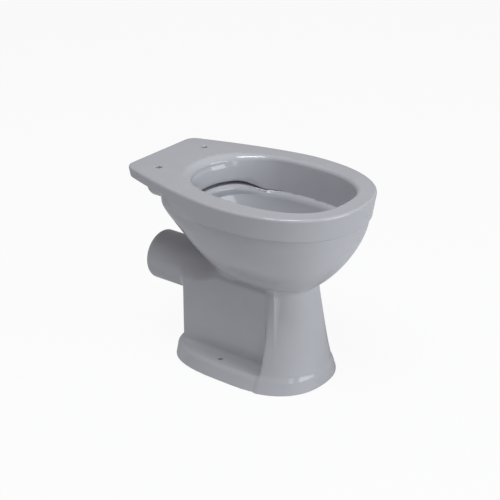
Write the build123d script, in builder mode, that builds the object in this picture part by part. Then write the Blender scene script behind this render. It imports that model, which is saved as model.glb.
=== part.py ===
from build123d import *
import os
from math import asin, cos, pi, sin

os.makedirs("parts", exist_ok=True)

# Rimless floor-standing pan, millimetres. +Z is up, the nose points to -Y,
# the flush inlet and the waste outlet face +Y, and the floor is z = 0.
# It is modelled as the cast sections that are stuck together before the firing.
pan_width = 360.0
pan_length = 535.0
pan_height = 435.0

# Walls of the cast sections
wall = 10.0
rim_wall = 12.0
top_wall = 14.0
foot_wall = 12.0

# Rim and deck, seen from above
widest_y = -30.0
tail_half_width = 109.0
tail_curve = 1.5
skirt_curve = 1.8
rim_power = 2.3
deck_corner_radius = 20.0
deck_edge = 25.0
rim_edge_radius = 6.0
skirt_height = 53.0
skirt_side_draft = 10.5
skirt_nose_draft = 7.5
skirt_rear_draft = 4.0
skirt_end_y = 110.0

# Opening of the rim
opening_half_width = 130.0
opening_front = 224.0
opening_rear = 140.0
opening_widest_y = -37.0
opening_front_power = 2.6
opening_rear_power = 2.2
opening_edge_radius = 9.0
ledge_edge_cut = 4.0

# Flush slot, ledge and lip
ledge_height = 358.0
lip_height = 376.0
slot_start_y = 30.0
slot_full_y = 85.0
ledge_width = 12.0

# Outer wall of the bowl
bowl_widest_y = -20.0
bowl_half_width = 165.5
bowl_nose = 257.0
bowl_rear = 192.0
bowl_front_power = 2.4
neck_height = 226.0
neck_half_width = 74.0
neck_nose = 160.0
neck_rear = 78.0
neck_front_power = 3.0
neck_rear_power = 2.3
bowl_rear_power = 2.87
bowl_top_half_width = 164.0
bowl_top_rear = 199.0
bowl_levels = 5

# Inner wall of the bowl and its throat
basin_half_width = opening_half_width - ledge_width
basin_nose = opening_front - ledge_width
basin_rear = opening_rear - 4.0
basin_widest_y = -30.0
throat_height = neck_height
throat_half_width = 46.0
throat_foot_half_width = 38.0
throat_nose = 88.0
throat_rear = 52.0
tongue_height = 105.0
sump_half_width = 41.0
sump_front = -30.0
throat_levels = 3

# Trap
seal_depth = 50.0
sump_floor = 45.0
weir_height = tongue_height + seal_depth
trap_corner = 16.0
sump_heel = 22.0
rise_y = 80.0
weir_y = 108.0
outlet_fall = 8.0

# Outlet and flush inlet
outlet_height = 187.0
outlet_radius = 53.0
outlet_bore_radius = 42.5
outlet_end_y = 263.0
outlet_lip_cut = 4.0
inlet_height = 381.0
inlet_radius = 49.0
inlet_bore_radius = 27.5
inlet_end_y = 266.0
inlet_lip_cut = 4.0
pipe_stop_y = 156.0  # where the flush pipe's bore ends in the chamber's floor

# Flush chamber
chamber_half_width = 78.0
chamber_depth = 70.0

# Pedestal
foot_half_width = 128.0
foot_nose = 184.0
foot_rear = 176.0
foot_widest_y = -25.0
foot_power = 2.4
foot_rear_power = 3.2
foot_edge_cut = 3.0
column_half_width = 69.0
column_nose = 151.0
column_widest_y = -60.0
column_power = 2.3
ledge_top = 31.0
recess_front_y = -88.0
recess_corner_radius = 18.0
recess_crown_radius = 2.0
panel_front_half_width = 68.0
panel_rear_half_width = 65.0
pedestal_rear_y = 160.0
pedestal_corner_radius = 18.0
vault_start_y = 40.0
vault_base = 165.0
leg_start_y = 35.0
ledge_edge = 8.0
column_bend = 85.0
column_shoulder = 150.0
floor_hole_x = 90.0
floor_hole_y = 27.0
floor_hole_radius = 5.0

# Seat fixings
seat_hole_spacing = 155.0
seat_hole_y = 200.5
seat_hole_radius = 7.0

# Heights and ends that follow from the sizes above
nose_y = -pan_length / 2
rear_y = pan_length / 2
skirt_foot = pan_height - skirt_height
deck_underside = pan_height - deck_edge
plate_underside = pan_height - top_wall
outlet_crown = outlet_height + outlet_radius
panel_inner_half_width = panel_front_half_width - wall
rear_wall_start_y = pedestal_rear_y - pedestal_corner_radius
reach = pan_length


def oval(half_width, front, rear, middle, front_power, rear_power, points=20):
    """Closed plan outline: two superellipse halves that meet at the widest line."""
    outline = []
    for step in range(points):
        angle = 2 * pi * step / points + pi / 2
        side, run = cos(angle), sin(angle)
        power = rear_power if run > 0 else front_power
        depth = rear - middle if run > 0 else front + middle
        x = half_width * abs(side) ** (2 / power) * (1 if side > 0 else -1)
        y = middle + depth * abs(run) ** (2 / power) * (1 if run > 0 else -1)
        outline.append((x, y))
    return outline


def rim_outline(height, inset, steps=6):
    """Plan outline of the rim: from the deck's right corner round the nose to its left one."""
    share = (pan_height - rim_edge_radius - height) / skirt_height
    half_width = pan_width / 2 - skirt_side_draft * share - inset
    tail_width = tail_half_width - skirt_side_draft * share - inset
    tail_y = rear_y - skirt_rear_draft * share - inset
    nose = -nose_y - skirt_nose_draft * share - inset
    curve = tail_curve + (skirt_curve - tail_curve) * share
    outline = []
    for step in range(steps):
        run = 1 - step / steps
        y = widest_y + (tail_y - widest_y) * run
        outline.append((half_width - (half_width - tail_width) * run**curve, y))
    for step in range(steps + 1):
        angle = pi / 2 * step / steps
        x = half_width * cos(angle) ** (2 / rim_power)
        outline.append((x, widest_y - (nose + widest_y) * sin(angle) ** (2 / rim_power)))
    return outline + [(-x, y) for x, y in reversed(outline[:-1])]


def swell(share):
    """How far the bowl has widened, 0 at the neck to 1 at the top."""
    return (1 - (1 - share) ** 1.5) ** (1 / 1.2)


def flare(share):
    """How far the pedestal has widened, 0 at the neck to 1 at the floor."""
    return 0.66 * share + 0.34 * share**4


def bowl_outline(height, inset):
    """Outer wall of the bowl at one height, drawn in by a wall thickness."""
    if height > skirt_foot:
        share = (height - skirt_foot) / (deck_underside - skirt_foot)
        half_width = bowl_half_width + (bowl_top_half_width - bowl_half_width) * share
        return oval(
            half_width - inset,
            bowl_nose - inset,
            bowl_rear + (bowl_top_rear - bowl_rear) * share - inset,
            bowl_widest_y,
            bowl_front_power,
            bowl_rear_power,
        )
    share = (height - neck_height) / (skirt_foot - neck_height)
    return oval(
        neck_half_width + (bowl_half_width - neck_half_width) * swell(share) - inset,
        neck_nose + (bowl_nose - neck_nose) * swell(share) - inset,
        neck_rear + (bowl_rear - neck_rear) * share - inset,
        bowl_widest_y,
        neck_front_power + (bowl_front_power - neck_front_power) * share,
        neck_rear_power + (bowl_rear_power - neck_rear_power) * share,
    )


def basin_outline(height, outset):
    """Inner wall of the bowl at one height, let out by a wall thickness."""
    share = (height - throat_height) / (ledge_height - wall - throat_height)
    return oval(
        throat_half_width + (basin_half_width - throat_half_width) * swell(share) + outset,
        throat_nose + (basin_nose - throat_nose) * swell(share) + outset,
        throat_rear + (basin_rear - throat_rear) * share + outset,
        basin_widest_y,
        opening_front_power,
        opening_rear_power,
    )


def throat_outline(height, outset):
    """Throat from the bottom of the bowl to the sump, at one height."""
    share = (throat_height - height) / (throat_height - tongue_height)
    ease = share * share * (3 - 2 * share)
    return oval(
        throat_half_width + (throat_foot_half_width - throat_half_width) * ease + outset,
        throat_nose + (-sump_front - throat_nose) * ease + outset,
        throat_rear + outset,
        basin_widest_y + (throat_rear + sump_front - 2 * basin_widest_y) / 2 * ease,
        opening_front_power,
        opening_rear_power + ease,
    )


def pedestal_arc(height, inset, cut_y, front, steps=12):
    """Pedestal outline at one height, only in front of a cross line or behind it."""
    share = 1 - height / neck_height
    spread = foot_half_width - column_half_width
    half_width = column_half_width + spread * flare(share) - inset
    nose = column_nose + (foot_nose - column_nose) * share - inset
    middle = column_widest_y + (foot_widest_y - column_widest_y) * share
    power = column_power + (foot_power - column_power) * share
    cut = asin(((middle - cut_y) / (nose + middle)) ** (power / 2))
    outline = []
    for step in range(steps + 1):
        if front:
            angle = -cut - (pi - 2 * cut) * step / steps
        else:
            angle = -cut + (pi + 2 * cut) * step / steps
        side, run = cos(angle), sin(angle)
        bend = power if run < 0 else foot_rear_power
        depth = nose + middle if run < 0 else foot_rear - inset - middle
        x = half_width * abs(side) ** (2 / bend) * (1 if side > 0 else -1)
        outline.append((x, middle + depth * abs(run) ** (2 / bend) * (1 if run > 0 else -1)))
    return outline


# Solid forms that the sections are cut from

with BuildPart() as rim_form:
    for height in (pan_height, skirt_foot):
        with BuildSketch(Plane.XY.offset(height)):
            with BuildLine():
                around = Spline(*rim_outline(height, 0))
                Line(around @ 1, around @ 0)
            make_face()
    loft(ruled=True)
    rear_edges = rim_form.edges().filter_by(lambda edge: edge.center().Y > rear_y - wall)
    rear_corners = rear_edges.filter_by(lambda edge: abs(edge.center().X) > tail_half_width / 2)
    fillet(rear_corners, deck_corner_radius)
    fillet(rim_form.faces().sort_by(Axis.Z)[-1].edges(), rim_edge_radius)

with BuildPart() as rim_hollow:
    for height in (plate_underside, skirt_foot):
        with BuildSketch(Plane.XY.offset(height)):
            with BuildLine():
                around = Spline(*rim_outline(height, rim_wall))
                Line(around @ 1, around @ 0)
            make_face()
    loft(ruled=True)

with BuildPart() as opening_form:
    with BuildSketch(Plane.XY.offset(ledge_height)):
        with BuildLine():
            Spline(
                *oval(
                    opening_half_width,
                    opening_front,
                    opening_rear,
                    opening_widest_y,
                    opening_front_power,
                    opening_rear_power,
                ),
                periodic=True,
            )
        make_face()
    extrude(amount=pan_height - ledge_height)

with BuildPart() as curtain_form:
    with BuildSketch(Plane.XY.offset(ledge_height - wall)):
        with BuildLine():
            Spline(
                *oval(
                    opening_half_width + wall,
                    opening_front + wall,
                    opening_rear + wall,
                    opening_widest_y,
                    opening_front_power,
                    opening_rear_power,
                ),
                periodic=True,
            )
        make_face()
    extrude(amount=plate_underside - ledge_height + wall)

with BuildPart() as bowl_form:
    for step in range(bowl_levels):
        height = neck_height + (skirt_foot - neck_height) * (step / (bowl_levels - 1)) ** 1.2
        with BuildSketch(Plane.XY.offset(height)):
            with BuildLine():
                Spline(*bowl_outline(height, 0), periodic=True)
            make_face()
    with BuildSketch(Plane.XY.offset(plate_underside)):
        with BuildLine():
            Spline(*bowl_outline(plate_underside, 0), periodic=True)
        make_face()
    loft()

with BuildPart() as bowl_hollow:
    for step in range(bowl_levels):
        height = neck_height + (skirt_foot - neck_height) * (step / (bowl_levels - 1)) ** 1.2
        with BuildSketch(Plane.XY.offset(height)):
            with BuildLine():
                Spline(*bowl_outline(height, wall), periodic=True)
            make_face()
    with BuildSketch(Plane.XY.offset(plate_underside)):
        with BuildLine():
            Spline(*bowl_outline(plate_underside, wall), periodic=True)
        make_face()
    loft()

with BuildPart() as throat_form:
    for step in range(throat_levels):
        height = tongue_height + (throat_height - tongue_height) * step / (throat_levels - 1)
        with BuildSketch(Plane.XY.offset(height)):
            with BuildLine():
                Spline(*throat_outline(height, wall), periodic=True)
            make_face()
    loft()

with BuildPart() as water_way:
    with BuildSketch(Plane.YZ) as way_profile:
        with BuildLine():
            Polyline(
                (sump_front, tongue_height),
                (sump_front + sump_heel, sump_floor),
                (rise_y, sump_floor),
                (weir_y, weir_height),
                (rear_wall_start_y, weir_height - outlet_fall),
                (rear_wall_start_y, outlet_height),
                (weir_y, outlet_height + outlet_bore_radius / 2),
                (throat_rear + wall, outlet_height),
                (throat_rear + wall, tongue_height),
                close=True,
            )
        make_face()
        bends = way_profile.vertices().filter_by(lambda bend: bend.X < rear_wall_start_y)
        fillet(bends.filter_by(lambda bend: abs(bend.Y - tongue_height) > wall), trap_corner)
    extrude(amount=sump_half_width, both=True)
    with BuildSketch(Plane.XZ.offset(-pedestal_rear_y)):
        with Locations((0, outlet_height)):
            Circle(outlet_bore_radius)
    extrude(amount=pedestal_rear_y - weir_y)

with BuildPart() as trap_block:
    with BuildSketch(Plane.YZ):
        add(way_profile.sketch_local)
        offset(amount=wall)
    extrude(amount=sump_half_width + wall, both=True)

with BuildPart() as core_form:
    with BuildSketch(Plane.XY.offset(ledge_top)) as core_plan:
        with BuildLine():
            Polyline(
                (-panel_front_half_width, recess_front_y),
                (panel_front_half_width, recess_front_y),
                (panel_rear_half_width, pedestal_rear_y),
                (-panel_rear_half_width, pedestal_rear_y),
                close=True,
            )
        make_face()
        fillet(core_plan.vertices().group_by(Axis.Y)[-1], pedestal_corner_radius)
    extrude(amount=neck_height - ledge_top)

with BuildPart() as core_shell:
    add(core_form.part)
    with BuildSketch(Plane.XY.offset(ledge_top)):
        add(core_plan.sketch_local)
        offset(amount=-wall)
    extrude(amount=neck_height - ledge_top, mode=Mode.SUBTRACT)
    with BuildSketch(Plane.XY.offset(ledge_top)):
        with Locations((0, recess_front_y)):
            Rectangle(2 * panel_inner_half_width, 2 * wall)
    extrude(amount=neck_height - ledge_top, mode=Mode.SUBTRACT)
    with BuildSketch(Plane.YZ):
        with BuildLine():
            Polyline(
                (vault_start_y, vault_base),
                (reach, vault_base),
                (reach, neck_height),
                (vault_start_y, neck_height),
                close=True,
            )
        make_face()
    extrude(amount=reach, both=True, mode=Mode.SUBTRACT)

# Rim and deck in one casting: the top plate, the skirt and the inner curtain

with BuildPart() as rim:
    add(rim_form.part)
    with BuildSketch(Plane.XY.offset(skirt_foot)):
        with Locations((0, skirt_end_y + reach / 2)):
            Rectangle(reach, reach)
    extrude(amount=deck_underside - skirt_foot, mode=Mode.SUBTRACT)
    add(rim_hollow.part, mode=Mode.SUBTRACT)
    add(curtain_form.part)
    add(opening_form.part, mode=Mode.SUBTRACT)
    # the curtain's foot rises to leave the flush slot at the rear
    with BuildSketch(Plane.YZ):
        with BuildLine():
            rise = Spline(
                (slot_start_y, ledge_height),
                (slot_full_y, lip_height),
                tangents=((1, 0), (1, 0)),
            )
            Polyline(
                rise @ 1,
                (rear_y, lip_height),
                (rear_y, ledge_height - wall),
                (nose_y, ledge_height - wall),
                (nose_y, ledge_height),
                rise @ 0,
            )
        make_face()
    extrude(amount=pan_width / 2, both=True, mode=Mode.SUBTRACT)
    with BuildSketch(Plane.XY.offset(pan_height)):
        with Locations((0, seat_hole_y)):
            with GridLocations(seat_hole_spacing, 0, 2, 1):
                Circle(seat_hole_radius)
    extrude(amount=-deck_edge, mode=Mode.SUBTRACT)
    top_face = rim.faces().sort_by(Axis.Z)[-1]
    opening_edge = top_face.inner_wires().sort_by(Edge.length)[-1].edges()
    fillet(opening_edge, opening_edge_radius)
rim.part.label = "rim_and_deck"
export_step(rim.part, "parts/rim_and_deck.step")

# Outer wall of the bowl, with the rear wall that carries the deck

with BuildPart() as bowl_shell:
    add(bowl_form.part)
    add(bowl_hollow.part, mode=Mode.SUBTRACT)
    with BuildSketch(Plane.XY.offset(skirt_foot)):
        with Locations((0, skirt_end_y - reach / 2)):
            Rectangle(reach, reach)
    extrude(amount=skirt_height, mode=Mode.SUBTRACT)
    add(rim.part, mode=Mode.SUBTRACT)
    with BuildSketch(Plane.XZ.offset(-rear_y)):
        with Locations((0, inlet_height)):
            Circle(inlet_bore_radius)
    extrude(amount=rear_y, mode=Mode.SUBTRACT)
bowl_shell.part.label = "bowl_shell"
export_step(bowl_shell.part, "parts/bowl_shell.step")

# Ledge that leads the flush water round the bowl, under the curtain

with BuildPart() as flush_ledge:
    add(curtain_form.part)
    with BuildSketch(Plane.XY.offset(ledge_height)):
        Rectangle(reach, 2 * reach)
    extrude(amount=skirt_height + deck_edge, mode=Mode.SUBTRACT)
    with BuildSketch(Plane.XY.offset(ledge_height - wall)):
        with BuildLine():
            Spline(*basin_outline(ledge_height - wall, 0), periodic=True)
        make_face()
    extrude(amount=wall, mode=Mode.SUBTRACT)
    inner_edge = flush_ledge.faces().sort_by(Axis.Z)[-1].inner_wires()[0].edges()
    chamfer(inner_edge, ledge_edge_cut)
flush_ledge.part.label = "flush_ledge"
export_step(flush_ledge.part, "parts/flush_ledge.step")

# Chamber behind the curtain, where the flush water turns into the slot

with BuildPart() as flush_chamber:
    with BuildSketch(Plane.XY.offset(ledge_height - wall)):
        with Locations((0, opening_rear)):
            Rectangle(2 * chamber_half_width, 2 * chamber_depth)
    extrude(amount=plate_underside - ledge_height + wall)
    with BuildSketch(Plane.XY.offset(ledge_height)):
        with Locations((0, opening_rear)):
            Rectangle(2 * (chamber_half_width - wall), 2 * chamber_depth)
    extrude(amount=plate_underside - ledge_height, mode=Mode.SUBTRACT)
    add(curtain_form.part, mode=Mode.SUBTRACT)
    add(bowl_hollow.part, mode=Mode.INTERSECT)
    with BuildSketch(Plane.XY.offset(ledge_height - wall)):
        with Locations((0, opening_widest_y - reach / 2)):
            Rectangle(reach, reach)
    extrude(amount=skirt_height + deck_edge, mode=Mode.SUBTRACT)
    with BuildSketch(Plane.XZ.offset(-rear_y)):
        with Locations((0, inlet_height)):
            Circle(inlet_bore_radius)
    extrude(amount=rear_y - pipe_stop_y, mode=Mode.SUBTRACT)
flush_chamber.part.label = "flush_chamber"
export_step(flush_chamber.part, "parts/flush_chamber.step")

# Horn that takes the flush pipe

with BuildPart() as inlet_horn:
    with BuildSketch(Plane.XZ.offset(-inlet_end_y)):
        with Locations((0, inlet_height)):
            Circle(inlet_radius)
    extrude(amount=inlet_end_y - opening_rear)
    chamfer(inlet_horn.faces().sort_by(Axis.Y)[-1].edges(), inlet_lip_cut)
    with BuildSketch(Plane.XZ.offset(-inlet_end_y)):
        with Locations((0, inlet_height)):
            Circle(inlet_bore_radius)
    extrude(amount=inlet_end_y - opening_rear, mode=Mode.SUBTRACT)
    with BuildSketch(Plane.XY.offset(deck_underside)):
        Rectangle(reach, 2 * reach)
    extrude(amount=skirt_height, mode=Mode.SUBTRACT)
    add(bowl_form.part, mode=Mode.SUBTRACT)
inlet_horn.part.label = "inlet_horn"
export_step(inlet_horn.part, "parts/inlet_horn.step")

# Inner bowl

with BuildPart() as basin:
    for step in range(bowl_levels):
        height = throat_height + (ledge_height - wall - throat_height) * step / (bowl_levels - 1)
        with BuildSketch(Plane.XY.offset(height)):
            with BuildLine():
                Spline(*basin_outline(height, wall), periodic=True)
            make_face()
    loft()
    for step in range(bowl_levels):
        height = throat_height + (ledge_height - wall - throat_height) * step / (bowl_levels - 1)
        with BuildSketch(Plane.XY.offset(height)):
            with BuildLine():
                Spline(*basin_outline(height, 0), periodic=True)
            make_face()
    loft(mode=Mode.SUBTRACT)
basin.part.label = "basin"
export_step(basin.part, "parts/basin.step")

# Throat below the bowl; its rear wall is the tongue that dips into the water

with BuildPart() as throat:
    add(throat_form.part)
    for step in range(throat_levels):
        height = tongue_height + (throat_height - tongue_height) * step / (throat_levels - 1)
        with BuildSketch(Plane.XY.offset(height)):
            with BuildLine():
                Spline(*throat_outline(height, 0), periodic=True)
            make_face()
    loft(mode=Mode.SUBTRACT)
throat.part.label = "throat"
export_step(throat.part, "parts/throat.step")

# Sump under the throat

with BuildPart() as sump:
    add(trap_block.part)
    add(water_way.part, mode=Mode.SUBTRACT)
    with BuildSketch(Plane.XY.offset(tongue_height)):
        Rectangle(reach, 2 * reach)
    extrude(amount=reach, mode=Mode.SUBTRACT)
sump.part.label = "sump"
export_step(sump.part, "parts/sump.step")

# Rising leg of the trap, up to the weir

with BuildPart() as rising_leg:
    add(trap_block.part)
    add(water_way.part, mode=Mode.SUBTRACT)
    with BuildSketch(Plane.YZ):
        with BuildLine():
            Polyline(
                (leg_start_y, tongue_height),
                (pedestal_rear_y - wall, tongue_height),
                (pedestal_rear_y - wall, vault_base),
                (leg_start_y, vault_base),
                close=True,
            )
        make_face()
    extrude(amount=reach, both=True, mode=Mode.INTERSECT)
    add(throat_form.part, mode=Mode.SUBTRACT)
    add(core_shell.part, mode=Mode.SUBTRACT)
rising_leg.part.label = "rising_leg"
export_step(rising_leg.part, "parts/rising_leg.step")

# Vault over the rising leg, behind the bowl

with BuildPart() as trap_vault:
    for y in (vault_start_y, pedestal_rear_y):
        run = (y - recess_front_y) / (pedestal_rear_y - recess_front_y)
        half_width = panel_front_half_width + (panel_rear_half_width - panel_front_half_width) * run
        with BuildSketch(Plane.XZ.offset(-y)):
            with BuildLine():
                crown = ThreePointArc(
                    (-half_width, outlet_crown - half_width),
                    (0, outlet_crown),
                    (half_width, outlet_crown - half_width),
                )
                Polyline(crown @ 1, (half_width, vault_base), (-half_width, vault_base), crown @ 0)
            make_face()
    loft(ruled=True)
    add(water_way.part, mode=Mode.SUBTRACT)
    add(bowl_form.part, mode=Mode.SUBTRACT)
    add(throat_form.part, mode=Mode.SUBTRACT)
trap_vault.part.label = "trap_vault"
export_step(trap_vault.part, "parts/trap_vault.step")

# Outlet spigot that the waste pipe's seal slips over

with BuildPart() as outlet_spigot:
    with BuildSketch(Plane.XZ.offset(-pedestal_rear_y)):
        with Locations((0, outlet_height)):
            Circle(outlet_radius)
            Circle(outlet_bore_radius, mode=Mode.SUBTRACT)
    extrude(amount=pedestal_rear_y - outlet_end_y)
    chamfer(outlet_spigot.faces().sort_by(Axis.Y)[-1].outer_wire().edges(), outlet_lip_cut)
outlet_spigot.part.label = "outlet_spigot"
export_step(outlet_spigot.part, "parts/outlet_spigot.step")

# Rounded front of the pedestal

with BuildPart() as column:
    for height in (ledge_top, column_bend, column_shoulder, neck_height):
        with BuildSketch(Plane.XY.offset(height)):
            with BuildLine():
                arc = Spline(*pedestal_arc(height, 0, recess_front_y, True))
                Line(arc @ 1, arc @ 0)
            make_face()
    loft()
    for height in (ledge_top, column_bend, column_shoulder, neck_height):
        with BuildSketch(Plane.XY.offset(height)):
            with BuildLine():
                arc = Spline(*pedestal_arc(height, wall, recess_front_y - wall, True))
                Line(arc @ 1, arc @ 0)
            make_face()
    loft(mode=Mode.SUBTRACT)
    with BuildSketch(Plane.XY.offset(ledge_top)):
        with Locations((0, recess_front_y)):
            Rectangle(2 * panel_inner_half_width, 3 * wall)
    extrude(amount=neck_height - ledge_top, mode=Mode.SUBTRACT)
column.part.label = "column"
export_step(column.part, "parts/column.step")

# Side panels at the back of the recesses, each with its hollow corner to the column

for side, name in ((-1, "side_panel_left"), (1, "side_panel_right")):
    with BuildPart() as side_panel:
        add(core_shell.part)
        with BuildSketch(Plane.XY.offset(ledge_top)):
            with Locations((side * reach / 2, (recess_front_y + rear_wall_start_y) / 2)):
                Rectangle(reach, rear_wall_start_y - recess_front_y)
        extrude(amount=neck_height - ledge_top, mode=Mode.INTERSECT)
        corner_x = side * (panel_front_half_width - wall / 2)
        for height in (ledge_top, neck_height):
            radius = recess_corner_radius if height == ledge_top else recess_crown_radius
            with BuildSketch(Plane.XY.offset(height)):
                with BuildLine():
                    corner = (corner_x, recess_front_y)
                    front = (side * (panel_front_half_width + radius), recess_front_y)
                    rear = (side * panel_front_half_width, recess_front_y + radius)
                    RadiusArc(front, rear, side * radius)
                    Polyline(rear, (corner_x, recess_front_y + radius), corner, front)
                make_face()
        loft(ruled=True)
    side_panel.part.label = name
    export_step(side_panel.part, f"parts/{name}.step")

# Rear wall of the pedestal, under the spigot

with BuildPart() as rear_wall:
    add(core_shell.part)
    with BuildSketch(Plane.XY.offset(ledge_top)):
        with Locations((0, rear_wall_start_y + reach / 2)):
            Rectangle(reach, reach)
    extrude(amount=neck_height - ledge_top, mode=Mode.INTERSECT)
    add(water_way.part, mode=Mode.SUBTRACT)
rear_wall.part.label = "rear_wall"
export_step(rear_wall.part, "parts/rear_wall.step")

# Toe of the foot, under the column

with BuildPart() as toe:
    for height in (0, ledge_top):
        with BuildSketch(Plane.XY.offset(height)):
            with BuildLine():
                arc = Spline(*pedestal_arc(height, 0, recess_front_y, True))
                Line(arc @ 1, arc @ 0)
            make_face()
    loft(ruled=True)
    floor_edge = toe.faces().sort_by(Axis.Z)[0].edges().sort_by(Edge.length)[-1]
    chamfer(floor_edge, foot_edge_cut)
    for height in (0, ledge_top):
        with BuildSketch(Plane.XY.offset(height)):
            with BuildLine():
                arc = Spline(*pedestal_arc(height, foot_wall, recess_front_y, True))
                Line(arc @ 1, arc @ 0)
            make_face()
    loft(ruled=True, mode=Mode.SUBTRACT)
toe.part.label = "toe"
export_step(toe.part, "parts/toe.step")

# Plinth with the two ledges that take the floor screws

with BuildPart() as plinth:
    for height in (0, ledge_top):
        with BuildSketch(Plane.XY.offset(height)):
            with BuildLine():
                arc = Spline(*pedestal_arc(height, 0, recess_front_y, False))
                Line(arc @ 1, arc @ 0)
            make_face()
    loft(ruled=True)
    top_edge = plinth.faces().sort_by(Axis.Z)[-1].edges().sort_by(Edge.length)[-1]
    fillet(top_edge, ledge_edge)
    floor_edge = plinth.faces().sort_by(Axis.Z)[0].edges().sort_by(Edge.length)[-1]
    chamfer(floor_edge, foot_edge_cut)
    for height in (0, ledge_top - wall):
        with BuildSketch(Plane.XY.offset(height)):
            with BuildLine():
                arc = Spline(*pedestal_arc(height, foot_wall, recess_front_y, False))
                Line(arc @ 1, arc @ 0)
            make_face()
    loft(ruled=True, mode=Mode.SUBTRACT)
    with BuildSketch(Plane.XY.offset(ledge_top)):
        with Locations((0, (recess_front_y + pedestal_rear_y - wall) / 2)):
            Rectangle(2 * (panel_rear_half_width - wall), pedestal_rear_y - wall - recess_front_y)
    extrude(amount=-ledge_top, mode=Mode.SUBTRACT)
    with BuildSketch(Plane.XY.offset(ledge_top)):
        with Locations((0, floor_hole_y)):
            with GridLocations(2 * floor_hole_x, 0, 2, 1):
                Circle(floor_hole_radius)
    extrude(amount=-ledge_top, mode=Mode.SUBTRACT)
plinth.part.label = "plinth"
export_step(plinth.part, "parts/plinth.step")
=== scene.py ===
# %% [markdown]
# # A rimless toilet pan in one skin of glaze
# The real pan is vitreous china: clay sections are cast in plaster, stuck together wet,
# sponged smooth and fired under one coat of glaze. Nothing on it is sharp, and no joint shows.
# The CAD part has the sections. This scene gives them the soft skin that the glaze makes.
# Nothing on the pan repeats or follows a rule along a path, so it needs no Geometry Nodes.

import bpy
import numpy as np
import openvdb
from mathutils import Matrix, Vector


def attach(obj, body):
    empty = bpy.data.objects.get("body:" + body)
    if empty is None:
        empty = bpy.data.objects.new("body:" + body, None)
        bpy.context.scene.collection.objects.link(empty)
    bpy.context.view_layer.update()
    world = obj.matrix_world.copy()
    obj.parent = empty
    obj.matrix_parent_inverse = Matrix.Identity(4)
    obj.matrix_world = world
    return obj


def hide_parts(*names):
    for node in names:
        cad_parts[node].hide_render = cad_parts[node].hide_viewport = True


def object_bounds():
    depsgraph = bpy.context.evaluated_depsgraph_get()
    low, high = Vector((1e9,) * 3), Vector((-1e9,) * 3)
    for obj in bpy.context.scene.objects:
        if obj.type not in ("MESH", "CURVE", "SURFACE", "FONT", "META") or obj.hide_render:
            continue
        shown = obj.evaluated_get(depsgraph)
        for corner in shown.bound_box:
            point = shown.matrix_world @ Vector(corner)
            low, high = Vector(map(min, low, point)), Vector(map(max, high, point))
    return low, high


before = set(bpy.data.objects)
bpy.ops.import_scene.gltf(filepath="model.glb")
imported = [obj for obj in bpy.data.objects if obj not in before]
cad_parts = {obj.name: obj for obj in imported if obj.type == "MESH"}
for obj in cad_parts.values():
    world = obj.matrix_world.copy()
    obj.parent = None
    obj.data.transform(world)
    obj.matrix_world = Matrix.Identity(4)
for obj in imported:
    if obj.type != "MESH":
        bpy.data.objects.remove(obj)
cad_low, cad_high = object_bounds()
print("CAD sections:", len(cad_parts), "from", tuple(cad_low), "to", tuple(cad_high))

# %% [markdown]
# ## Sizes
# Everything up to the mesh is in millimetres, in the CAD part's own place: the floor is
# z = 0, the nose points to -Y and the wall is on the +Y side.

# %% Main sizes
pan_top = 435
deck_rear = 267.5
half_width = 180
tail_half_width = 109
widest_line = -30
skirt_foot = 382
tail_foot = 410
neck_level = 226
pedestal_half_width = 69
pedestal_rear = 160
recess_front = -88
outlet_level = 187
outlet_radius = 53
outlet_bore = 42.5
inlet_level = 381
inlet_radius = 49
inlet_bore = 27.5
throat_half_width = 46
throat_front = 88
throat_rear = 52
seat_hole_x = 77.5
seat_hole_y = 200.5
screw_hole_x = 90
screw_hole_y = 27
print("the pan is", 2 * half_width, "wide,", 2 * deck_rear, "long and", pan_top, "high")

# %% [markdown]
# ## Forms as distances
# A bevel on a mesh can't follow an edge that fades out, as the pan's do. So each form is
# written as a distance instead: negative inside the clay, positive outside, in millimetres.
# Two distances are joined or cut with a round corner by plain arithmetic, as a potter runs
# a finger of slip along a joint.

# %% Corners between two forms
def cut_corner(a, b, radius):
    """Clay that is inside both forms, with its outer edge rounded."""
    over = np.hypot(np.maximum(a + radius, 0), np.maximum(b + radius, 0))
    return np.minimum(np.maximum(a, b), -radius) + over


def slip_joint(a, b, radius):
    """Clay that is inside either form, with slip run into the inner corner."""
    return -cut_corner(-a, -b, radius)


def carve(clay, hollow, radius):
    """Clay with a hollow taken out of it and the mouth's edge sponged round."""
    return cut_corner(clay, -hollow, radius)


def ease(value):
    """0 below 0, 1 above 1 and a soft curve between."""
    t = np.clip(value, 0, 1)
    return t * t * (3 - 2 * t)


def probe(form, x, y, z):
    """Distance from one point to a form, for the notes that the cells print."""
    return round(float(form(*np.array([[x], [y], [z]], float))[0]), 2)


print("corner of two planes 1 mm outside:", float(cut_corner(np.float64(1), np.float64(1), 4.0)))

# %% [markdown]
# ## The plan outline
# Seen from above, every level of the pan is an egg of two superellipse halves that meet at
# its widest line: a fuller front, a different rear. One function serves them all.

# %% Egg outline
def egg(x, y, half_width, front, rear, middle, front_power, rear_power):
    """Distance to an egg outline, measured along the ray from its middle."""
    run = y - middle
    ahead = run < 0
    power = np.where(ahead, front_power, rear_power)
    depth = np.where(ahead, front + middle, rear - middle)
    reach = ((np.abs(x) / half_width) ** power + (np.abs(run) / depth) ** power) ** (1 / power)
    return np.hypot(x, run) * (1 - 1 / np.maximum(reach, 1e-3))


def swell(share):
    """How far a bowl has widened, from its neck at 0 to its top at 1."""
    return (1 - (1 - share) ** 1.5) ** (1 / 1.2)


def lean(share, spread, height):
    """Shortens a level distance where the wall leans, so that it stays a true one."""
    slope = spread / height * 1.25 * np.maximum(1.5 * share, 0.03) ** -0.167 * (1 - share) ** 0.5
    return 1 / np.sqrt(1 + slope * slope)


print("a bowl is half way up when it has widened by", round(swell(0.5), 3))

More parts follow.
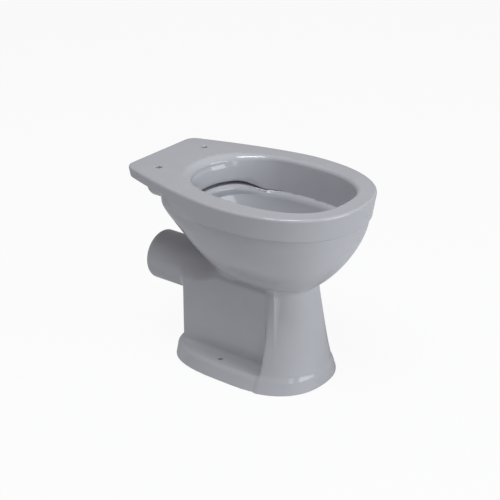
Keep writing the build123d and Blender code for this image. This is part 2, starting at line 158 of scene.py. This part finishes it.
# %% [markdown]
# ## Rim and deck
# The top is a flat plate with a drafted skirt. Behind its widest line the sides run in to
# the deck, which overhangs the body only at its two rear corners.

# %% Rim, deck and skirt
draft_top = 429
draft_height = 53
skirt_draft = 10.5
nose_draft = 7.5
rear_draft = 4
plate_underside = 421
skirt_wall = 12


def deck_plan(x, y, z):
    down = np.maximum((draft_top - z) / draft_height, -0.2)
    half = half_width - skirt_draft * down
    tail = tail_half_width - skirt_draft * down
    back = deck_rear - rear_draft * down
    curve = 1.5 + 0.3 * down
    front = egg(x, y, half, deck_rear - nose_draft * down, back, widest_line, 2.3, 2.3)
    run = np.clip((y - widest_line) / (back - widest_line), 1e-4, 1.3)
    slope = (half - tail) * curve * run ** (curve - 1) / (back - widest_line)
    side = (np.abs(x) - half + (half - tail) * run**curve) / np.sqrt(1 + slope * slope)
    return np.where(y < widest_line, front, cut_corner(side, y - back, 20.0))


def rim_clay(x, y, z):
    plan = deck_plan(x, y, z)
    foot = skirt_foot + (tail_foot - skirt_foot) * ease((y - 92) / 40)
    clay = cut_corner(cut_corner(plan, z - pan_top, 6.0), foot - z, 3.0)
    plate = cut_corner(plan + skirt_wall, z - plate_underside, 3.0)
    pocket = cut_corner(plate, 200 - y, 3.0)
    return carve(clay, pocket, 2.0)


print("the deck's top lies", probe(rim_clay, 0, 230, pan_top), "mm from the pan's top")

# %% [markdown]
# ## Bowl, column and foot
# The bowl swells out of a narrow neck. Under it the column flares down to the foot, cut
# off square behind, and two flat panels close the recesses over the ledges for the screws.

# %% Bowl
bowl_height = skirt_foot - neck_level


def bowl_clay(x, y, z):
    share = np.clip((z - neck_level) / bowl_height, 0, 1)
    over = np.clip((z - skirt_foot) / (tail_foot - skirt_foot), 0, 1)
    half = 74 + 90 * swell(share) - 1.5 * over
    front = 160 + 95.5 * swell(share)
    rear = 78 + 114 * share + 7 * over
    plan = egg(x, y, half, front, rear, -20, 3.0 - 0.6 * share, 2.3 + 0.57 * share)
    flush = 3.5 * ease((y + 15) / 60) * (1 - ease((y - 130) / 50)) * ease((z - 330) / 50)
    wall = plan * lean(share, 94, bowl_height) - flush
    return cut_corner(cut_corner(wall, neck_level - z, 5.0), z - 424, 2.0)


print("the bowl's side at half height is", probe(bowl_clay, 140, 0, 304), "mm from x = 140")

# %% Column, panels and foot
panel_half_width = 68
panel_taper = 3
foot_height = 31
flare = 59


def foot_plan(x, y, z):
    share = np.clip(1 - z / neck_level, 0, 1)
    half = pedestal_half_width + flare * (0.66 * share + 0.34 * share**4)
    middle = -60 + 35 * share
    return egg(x, y, half, 151 + 33 * share, 176, middle, 2.3 + 0.1 * share, 3.2) * 0.95


def column_clay(x, y, z):
    return cut_corner(cut_corner(foot_plan(x, y, z), y - recess_front, 9.0), z - 238, 3.0)


def panel_clay(x, y, z):
    share = (y - recess_front) / (pedestal_rear - recess_front)
    side = np.abs(x) - panel_half_width + panel_taper * share
    box = cut_corner(side, y - pedestal_rear, 18.0)
    return cut_corner(np.maximum(box, -100 - y), z - 232 + 24 * ease((y - 50) / 70), 30.0)


def foot_clay(x, y, z):
    slab = cut_corner(foot_plan(x, y, z), z - foot_height, 8.0)
    return cut_corner(slab, -z, 3.0)


print("the foot's ledge lies", probe(foot_clay, 90, 27, foot_height), "mm from its level")

# %% [markdown]
# ## Outlet and flush horn
# The waste leaves through a plain round spigot that runs out from behind the bowl.
# The flush pipe pushes into a short horn under the deck.

# %% Spigot and horn
outlet_end = 263
inlet_end = 266


def spigot_clay(x, y, z):
    pipe = np.hypot(x, z - outlet_level) - outlet_radius
    return np.maximum(cut_corner(pipe, y - outlet_end, 5.0), 30 - y)


def horn_clay(x, y, z):
    pipe = np.hypot(x, z - inlet_level) - inlet_radius
    ended = cut_corner(pipe, y - inlet_end, 5.0)
    return np.maximum(cut_corner(ended, z - 412, 2.0), 150 - y)


print("the spigot's side is", probe(spigot_clay, outlet_radius, 200, outlet_level), "mm off")

# %% [markdown]
# ## The inside
# A rimless pan has no closed rim: the wall of the opening stops short of a ledge, and the
# flush water is thrown out of the slot between them and runs round on the ledge. That slot
# is the part that takes the most skill to cast, so it is carved here as it really is.

# %% Opening, basin and throat
basin_height = 122


def opening_egg(x, y, rear):
    return egg(x, y, 130, 224, rear, -37, 2.6, 2.2)


def ledge_level(y):
    """The ledge is level round the sides and climbs a little to the slot at the rear."""
    return 357 + 13 * ease((y - 45) / 75)


def curtain_plan(x, y, z):
    """Wall of the opening. It leans a little, more so at the rear, where the light catches it."""
    inwards = (pan_top - z) * (0.02 + 0.24 * ease((y - 10) / 80))
    return opening_egg(x, y, 145) + np.clip(inwards, 0, 13)


def opening_hollow(x, y, z):
    return np.maximum(curtain_plan(x, y, z), ledge_level(y) - z)


def basin_hollow(x, y, z):
    share = np.clip((z - neck_level) / basin_height, 0, 1)
    half = throat_half_width + 72 * swell(share)
    front = throat_front + 124 * swell(share)
    plan = egg(x, y, half, front, throat_rear + 74 * share, -30, 2.6, 2.2)
    return np.maximum(plan * lean(share, 97, basin_height), 224 - z)


def throat_hollow(x, y, z):
    share = ease((neck_level - z) / 121)
    half = throat_half_width - 8 * share
    front = throat_front - 58 * share
    plan = egg(x, y, half, front, throat_rear, -30 + 41 * share, 2.6, 2.2 + share)
    return np.maximum(np.maximum(plan, z - 230), 95 - z)


print("the ledge is at", float(ledge_level(0)), "mm at the sides,", float(ledge_level(130)), "behind")

# %% Flush slot, chamber and inlet bore
def slot_hollow(x, y, z):
    lip = 357.5 + 20 * ease((y - 45) / 65)
    ring = opening_egg(x, y, 140)
    under_lip = np.maximum(np.maximum(ring - 18, z - lip), ledge_level(y) - z)
    return np.maximum(under_lip, 20 - y)


def chamber_hollow(x, y, z):
    box = cut_corner(np.abs(x) - 68, y - 176, 12.0)
    return cut_corner(np.maximum(box, 152 - y), np.abs(z - 384) - 26, 6.0)


def inlet_hollow(x, y, z):
    return np.maximum(np.hypot(x, z - inlet_level) - inlet_bore, 165 - y)


print("the bore's wall is", probe(inlet_hollow, inlet_bore, 220, inlet_level), "mm off")

# %% Trap
weir_level = 155
sump_floor = 45
dip_level = 105
trap_half_width = 41
trap_line = [(-30, dip_level), (-8, sump_floor), (80, sump_floor), (108, weir_level)]
trap_line += [(146, 147), (146, outlet_level), (108, 208), (62, outlet_level), (62, dip_level)]


def polygon(u, v, points):
    """Distance to a closed outline of straight lines."""
    nearest = np.full(u.shape, 1e9, u.dtype)
    inside = np.zeros(u.shape, bool)
    for (u0, v0), (u1, v1) in zip(points, points[1:] + points[:1]):
        du = u1 - u0
        dv = v1 - v0
        t = np.clip(((u - u0) * du + (v - v0) * dv) / (du * du + dv * dv), 0, 1)
        nearest = np.minimum(nearest, np.hypot(u - u0 - t * du, v - v0 - t * dv))
        if dv:
            inside ^= ((v0 > v) != (v1 > v)) & (u < u0 + (v - v0) * du / dv)
    return np.where(inside, -nearest, nearest)


def trap_hollow(x, y, z):
    water = cut_corner(polygon(y, z, trap_line), np.abs(x) - trap_half_width, 8.0)
    bore = np.maximum(np.hypot(x, z - outlet_level) - outlet_bore, 118 - y)
    return slip_joint(water, bore, 6.0)


print("the water seal is", weir_level - dip_level, "mm deep")

# %% [markdown]
# ## Putting the clay together
# The outer forms are joined first and the hollows are then carved out of them. The slip's
# radius is what the photo shows: tight under the skirt, wide where the spigot leaves the bowl.

# %% The whole pan
pedestal_wall = 12
throat_wall = 10
trap_wall = 9


def pedestal_clay(x, y, z):
    core = slip_joint(panel_clay(x, y, z), column_clay(x, y, z), 16.0)
    return slip_joint(core, foot_clay(x, y, z), 9.0)


def outer_clay(x, y, z):
    pedestal = pedestal_clay(x, y, z)
    pipe = spigot_clay(x, y, z)
    upper = slip_joint(bowl_clay(x, y, z), pipe, 26.0)
    body = slip_joint(upper, slip_joint(pedestal, pipe, 16.0), 12.0)
    body = slip_joint(body, horn_clay(x, y, z), 7.0)
    body = slip_joint(body, rim_clay(x, y, z), 2.0)
    under = np.maximum(pedestal + pedestal_wall, z - 204)
    return carve(body, under, 1.5)


def inner_hollow(x, y, z, throat):
    joint = 14 - 2 * ease((y - 40) / 60)
    inside = slip_joint(basin_hollow(x, y, z), opening_hollow(x, y, z), joint)
    slot = slip_joint(slot_hollow(x, y, z), chamber_hollow(x, y, z), 4.0)
    inside = slip_joint(inside, slot, 3.0)
    return slip_joint(inside, throat, 6.0)


def pan(x, y, z):
    throat = throat_hollow(x, y, z)
    trap = trap_hollow(x, y, z)
    walls = np.minimum(np.maximum(throat - throat_wall, z - 210), trap - trap_wall)
    body = np.minimum(outer_clay(x, y, z), np.maximum(walls, y - 150))
    body = carve(body, inner_hollow(x, y, z, throat), 9 + 6 * ease((y - 30) / 90))
    body = carve(body, inlet_hollow(x, y, z), 2.5)
    body = carve(body, trap, 3.0)
    seat_hole = np.hypot(np.abs(x) - seat_hole_x, y - seat_hole_y) - 7
    screw_hole = np.hypot(np.abs(x) - screw_hole_x, y - screw_hole_y) - 5
    body = carve(body, np.maximum(seat_hole, 400 - z), 1.5)
    return carve(body, np.maximum(screw_hole, z - 60), 1.5)


print("the middle of a seat hole is", probe(pan, seat_hole_x, seat_hole_y, 428), "mm from the clay")

# %% [markdown]
# ## From distances to a mesh
# The distance is measured on a fine grid, a mesh is laid where it is zero, and each vertex
# is then moved onto the exact surface. The slope of the distance there is the true normal,
# so the glaze shades smoothly however fine the mesh is.

# %% Skin mesh
spacing = 2.4
grid_low = np.array([-187.0, -275.0, -7.0])
grid_high = np.array([187.0, 275.0, 442.0])
slab = 24
count = np.ceil((grid_high - grid_low) / spacing).astype(int)
field = np.empty(tuple(count), np.float32)
ys, zs = (grid_low[i] + spacing * np.arange(count[i]) for i in (1, 2))
for first in range(0, count[0], slab):
    xs = grid_low[0] + spacing * np.arange(first, min(first + slab, count[0]))
    block = np.meshgrid(xs, ys, zs, indexing="ij")
    field[first : first + slab] = pan(*(b.astype(np.float32) for b in block))
grid = openvdb.FloatGrid(100.0)
grid.copyFromArray(np.clip(field, -99, 99))
corners, quads = grid.convertToQuads(0.0)
corners = grid_low + spacing * corners.astype(np.float64)
print("grid", tuple(count), "vertices", len(corners), "quads", len(quads))


# %% Onto the exact surface
def slope_of(points, step=0.15):
    """Direction in which the distance grows, at each point."""
    axes = np.eye(3) * step
    ahead = [pan(*(points + axis).T) - pan(*(points - axis).T) for axis in axes]
    return np.stack(ahead, axis=1) / (2 * step)


for _ in range(3):
    slope = slope_of(corners)
    steepness = np.maximum((slope * slope).sum(1), 0.15)
    step = pan(*corners.T) / steepness
    corners -= slope * np.clip(step, -spacing, spacing)[:, None]
# the pedestal's forms run on below the floor, so their points are pressed into the CAD box
corners = np.clip(corners, 1000 * np.array(cad_low), 1000 * np.array(cad_high))
slope = slope_of(corners)
normals = slope / np.maximum(np.linalg.norm(slope, axis=1), 1e-6)[:, None]
print("furthest vertex from the surface, mm:", round(float(np.abs(pan(*corners.T)).max()), 3))

# %% [markdown]
# ## Back to named sections
# Each face belongs to the section whose own form it lies on. The sections share their
# border vertices and normals, so the glaze runs over the joints as it does on the real pan.

# %% Sections
far = 99
a, b, c, d = (corners[quads[:, i]] for i in range(4))
middle = (a + b + c + d) / 4
x, y, z = middle.T
front_of_recess = y < recess_front
near = {
    "rim_glaze": np.minimum(rim_clay(x, y, z), np.abs(opening_hollow(x, y, z))),
    "bowl_glaze": bowl_clay(x, y, z),
    "basin_glaze": basin_hollow(x, y, z),
    "ledge_glaze": np.maximum(np.abs(z - ledge_level(y)) - 1, curtain_plan(x, y, z)),
    "chamber_glaze": np.minimum(slot_hollow(x, y, z), np.abs(chamber_hollow(x, y, z))),
    "horn_glaze": np.minimum(np.abs(horn_clay(x, y, z)), np.abs(inlet_hollow(x, y, z))),
    "throat_glaze": throat_hollow(x, y, z),
    "trap_glaze": trap_hollow(x, y, z),
    "spigot_glaze": np.where(y > 150, spigot_clay(x, y, z), far),
    "vault_glaze": np.where(y > 150, far, spigot_clay(x, y, z)),
    "column_glaze": column_clay(x, y, z),
    "left_panel_glaze": np.where(x < 0, panel_clay(x, y, z), far),
    "right_panel_glaze": np.where(x < 0, far, panel_clay(x, y, z)),
    "rear_wall_glaze": np.where(y > 142, panel_clay(x, y, z) - 1, far),
    "toe_glaze": np.where(front_of_recess, foot_clay(x, y, z), far),
    "plinth_glaze": np.where(front_of_recess, far, foot_clay(x, y, z)),
}
names = list(near)
owner = np.argmin(np.stack([np.abs(near[name]) for name in names]), axis=0)
for index, name in enumerate(names):
    print(name, int((owner == index).sum()), "quads")

stands_for = {
    "rim_glaze": ["rim_and_deck"],
    "bowl_glaze": ["bowl_shell"],
    "basin_glaze": ["basin"],
    "ledge_glaze": ["flush_ledge"],
    "chamber_glaze": ["flush_chamber"],
    "horn_glaze": ["inlet_horn"],
    "throat_glaze": ["throat"],
    "trap_glaze": ["sump", "rising_leg"],
    "spigot_glaze": ["outlet_spigot"],
    "vault_glaze": ["trap_vault"],
    "column_glaze": ["column"],
    "left_panel_glaze": ["side_panel_left"],
    "right_panel_glaze": ["side_panel_right"],
    "rear_wall_glaze": ["rear_wall"],
    "toe_glaze": ["toe"],
    "plinth_glaze": ["plinth"],
}

# %% [markdown]
# ## Glaze
# The finish is a pale grey-lilac gloss glaze. It is never quite flat: it lies in faint
# waves, pools a little darker in the hollows, breaks thinner over the edges and carries a
# few pinholes. The foot is wiped clean before the firing, so its sole is bare, matt biscuit.

# %% Shader helpers
class Link:
    """A socket that can be reckoned with."""

    def __init__(self, finish, socket):
        self.finish = finish
        self.socket = socket

    def _maths(self, operation, first, second):
        return self.finish.node("ShaderNodeMath", {"operation": operation}, {0: first, 1: second})

    def __add__(self, other):
        return self._maths("ADD", self, other)

    def __sub__(self, other):
        return self._maths("SUBTRACT", self, other)

    def __rsub__(self, other):
        return self._maths("SUBTRACT", other, self)

    def __mul__(self, other):
        return self._maths("MULTIPLY", self, other)

    __radd__ = __add__
    __rmul__ = __mul__


class Finish:
    """The nodes of a material or of the room, added one line at a time."""

    def __init__(self, owner):
        owner.use_nodes = True
        self.tree = owner.node_tree
        self.tree.nodes.clear()

    def node(self, kind, settings=None, sockets=None, out=0):
        made = self.tree.nodes.new(kind)
        for key, value in (settings or {}).items():
            setattr(made, key, value)
        for key, value in (sockets or {}).items():
            self.feed(made.inputs[key], value)
        return Link(self, made.outputs[out] if made.outputs else None)

    def feed(self, socket, value):
        if isinstance(value, Link):
            self.tree.links.new(value.socket, socket)
        else:
            socket.default_value = value

    def ramp(self, value, stops):
        made = self.node("ShaderNodeValToRGB", None, {0: value})
        ramp = made.socket.node.color_ramp
        ramp.interpolation = "EASE"
        for element, (place, level) in zip(ramp.elements, stops):
            element.position = place
            element.color = (level, level, level, 1)
        return made

    def mix(self, share, first, second):
        colours = {0: share, 6: first, 7: second}
        return self.node("ShaderNodeMix", {"data_type": "RGBA"}, colours, out=2)


print("shader helpers ready")

# %% The glaze material
glaze_colour = (0.475, 0.471, 0.511, 1)
pool_colour = (0.45, 0.444, 0.484, 1)
thin_colour = (0.50, 0.496, 0.53, 1)
pinhole_colour = (0.3, 0.29, 0.28, 1)
biscuit_colour = (0.62, 0.58, 0.52, 1)


def noise(finish, place, scale, detail):
    return finish.node("ShaderNodeTexNoise", None, {"Vector": place, "Scale": scale, "Detail": detail})


def make_glaze(name, bare_sole):
    material = bpy.data.materials.new(name)
    finish = Finish(material)
    place = finish.node("ShaderNodeTexCoord", out=3)
    cloud = noise(finish, place, 4.0, 3.0)
    speck = noise(finish, place, 900.0, 1.0)
    waves = noise(finish, place, 28.0, 2.0)
    colour = finish.mix(finish.ramp(cloud, [(0.35, 0), (0.65, 1)]), glaze_colour, pool_colour)
    colour = finish.mix(finish.ramp(waves, [(0.58, 0), (0.8, 0.35)]), colour, thin_colour)
    pinhole = finish.ramp(speck, [(0.76, 0), (0.8, 0.5)])
    colour = finish.mix(pinhole, colour, pinhole_colour)
    rough = 0.07 + 0.05 * cloud + 0.25 * pinhole
    height = 0.9 * waves + 0.1 * speck - 0.2 * pinhole
    if bare_sole:
        level = finish.node("ShaderNodeSeparateXYZ", None, {0: place}, out=2)
        sole = finish.ramp(400 * level + 0.3 * waves, [(0.5, 1), (0.9, 0)])
        colour = finish.mix(sole, colour, biscuit_colour)
        rough = rough + 0.6 * sole
    relief = {"Strength": 0.06, "Distance": 0.002, "Height": height}
    bump = finish.node("ShaderNodeBump", None, relief)
    gloss = {"Base Color": colour, "Roughness": rough, "Normal": bump, "IOR": 1.52}
    surface = finish.node("ShaderNodeBsdfPrincipled", None, gloss)
    finish.node("ShaderNodeOutputMaterial", None, {"Surface": surface})
    return material


glaze = make_glaze("gloss glaze", False)
foot_glaze = make_glaze("gloss glaze over a bare sole", True)
print("finishes:", [m.name for m in (glaze, foot_glaze)])

# %% [markdown]
# ## The pieces
# Each section gets its own mesh, its true normals and its glaze, and the CAD sections that
# it stands for are hidden.

# %% Build the pieces
def make_piece(name, faces, material):
    used, packed = np.unique(faces, return_inverse=True)
    mesh = bpy.data.meshes.new(name)
    mesh.from_pydata((corners[used] / 1000).tolist(), [], packed.reshape(-1, 4).tolist())
    mesh.polygons.foreach_set("use_smooth", np.ones(len(mesh.polygons), bool))
    mesh.normals_split_custom_set_from_vertices(normals[used].tolist())
    mesh.materials.append(material)
    piece = bpy.data.objects.new(name, mesh)
    bpy.context.scene.collection.objects.link(piece)
    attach(piece, "root")
    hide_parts(*stands_for[name])
    return piece


outward = np.einsum("ij,ij->i", np.cross(c - a, d - b), normals[quads[:, 0]])
if np.median(outward) < 0:
    quads = quads[:, ::-1]
for index, name in enumerate(names):
    wiped = name in ("toe_glaze", "plinth_glaze")
    make_piece(name, quads[owner == index], foot_glaze if wiped else glaze)
print("pieces:", len(names))

# %% [markdown]
# ## Floor, light and camera
# A plain pale floor in a white room. A large soft lamp stands before the nose, to the right
# of the camera, one hangs overhead, and a weak one glints in the opening: the top and the
# nose are bright, the side nearest the camera is about half as bright.

# %% Floor and room
bpy.ops.mesh.primitive_plane_add(size=24, location=(0, 0, -0.0005))
floor = bpy.context.active_object
floor.name = "floor"
white_paper = bpy.data.materials.new("white paper")
paper = Finish(white_paper)
matt = paper.node("ShaderNodeBsdfDiffuse", None, {"Color": (0.72, 0.72, 0.73, 1)})
bright = paper.node("ShaderNodeEmission", None, {"Color": (1, 1, 1, 1), "Strength": 1.0})
seen = paper.node("ShaderNodeLightPath", out=0)
blend = paper.node("ShaderNodeMixShader", None, {0: 0.93 * seen, 1: matt, 2: bright})
paper.node("ShaderNodeOutputMaterial", None, {"Surface": blend})
floor.data.materials.append(white_paper)

world = bpy.data.worlds.new("white room")
bpy.context.scene.world = world
room = Finish(world)
dim = room.node("ShaderNodeBackground", None, {"Color": (1.0, 0.99, 0.99, 1), "Strength": 0.27})
page = room.node("ShaderNodeBackground", None, {"Color": (1, 1, 1, 1), "Strength": 1.0})
direct = room.node("ShaderNodeLightPath", out=0)
walls = room.node("ShaderNodeMixShader", None, {0: direct, 1: dim, 2: page})
room.node("ShaderNodeOutputWorld", None, {"Surface": walls})
print("stage:", floor.name, "in", world.name)


# %% Lamps
def lamp(name, place, target, size, power):
    light = bpy.data.lights.new(name, "AREA")
    light.shape = "RECTANGLE"
    light.size, light.size_y = size
    light.energy = power
    light.color = (0.95, 1.0, 1.0)
    holder = bpy.data.objects.new(name, light)
    bpy.context.scene.collection.objects.link(holder)
    holder.location = place
    aim = Vector(target) - Vector(place)
    holder.rotation_euler = aim.to_track_quat("-Z", "Y").to_euler()


lamp("key", (0.4, -3.3, 1.4), (0, 0, 0.25), (2.6, 2.0), 61)
lamp("top", (-0.8, -0.2, 2.9), (0, 0, 0.3), (1.3, 0.9), 43)
lamp("window", (-1.6, -2.35, 0.95), (0.07, 0.11, 0.41), (0.5, 0.8), 2.5)

# %% [markdown]
# ## Camera
# The camera was worked back from the photo: 52.8 degrees to the pan's left, 24.5 degrees
# up and about three metres away, so the pan is seen with little perspective.

# %% Camera
camera_data = bpy.data.cameras.new("camera")
camera_data.lens = 101.7
camera = bpy.data.objects.new("camera", camera_data)
bpy.context.scene.collection.objects.link(camera)
camera.location = (-2.2107, -1.6640, 1.5273)
aim = Vector((0, 0.014, 0.2625)) - camera.location
camera.rotation_euler = aim.to_track_quat("-Z", "Y").to_euler()
bpy.context.scene.camera = camera
bpy.context.scene.view_settings.view_transform = "Standard"
print("camera", round(aim.length, 2), "m from the pan")
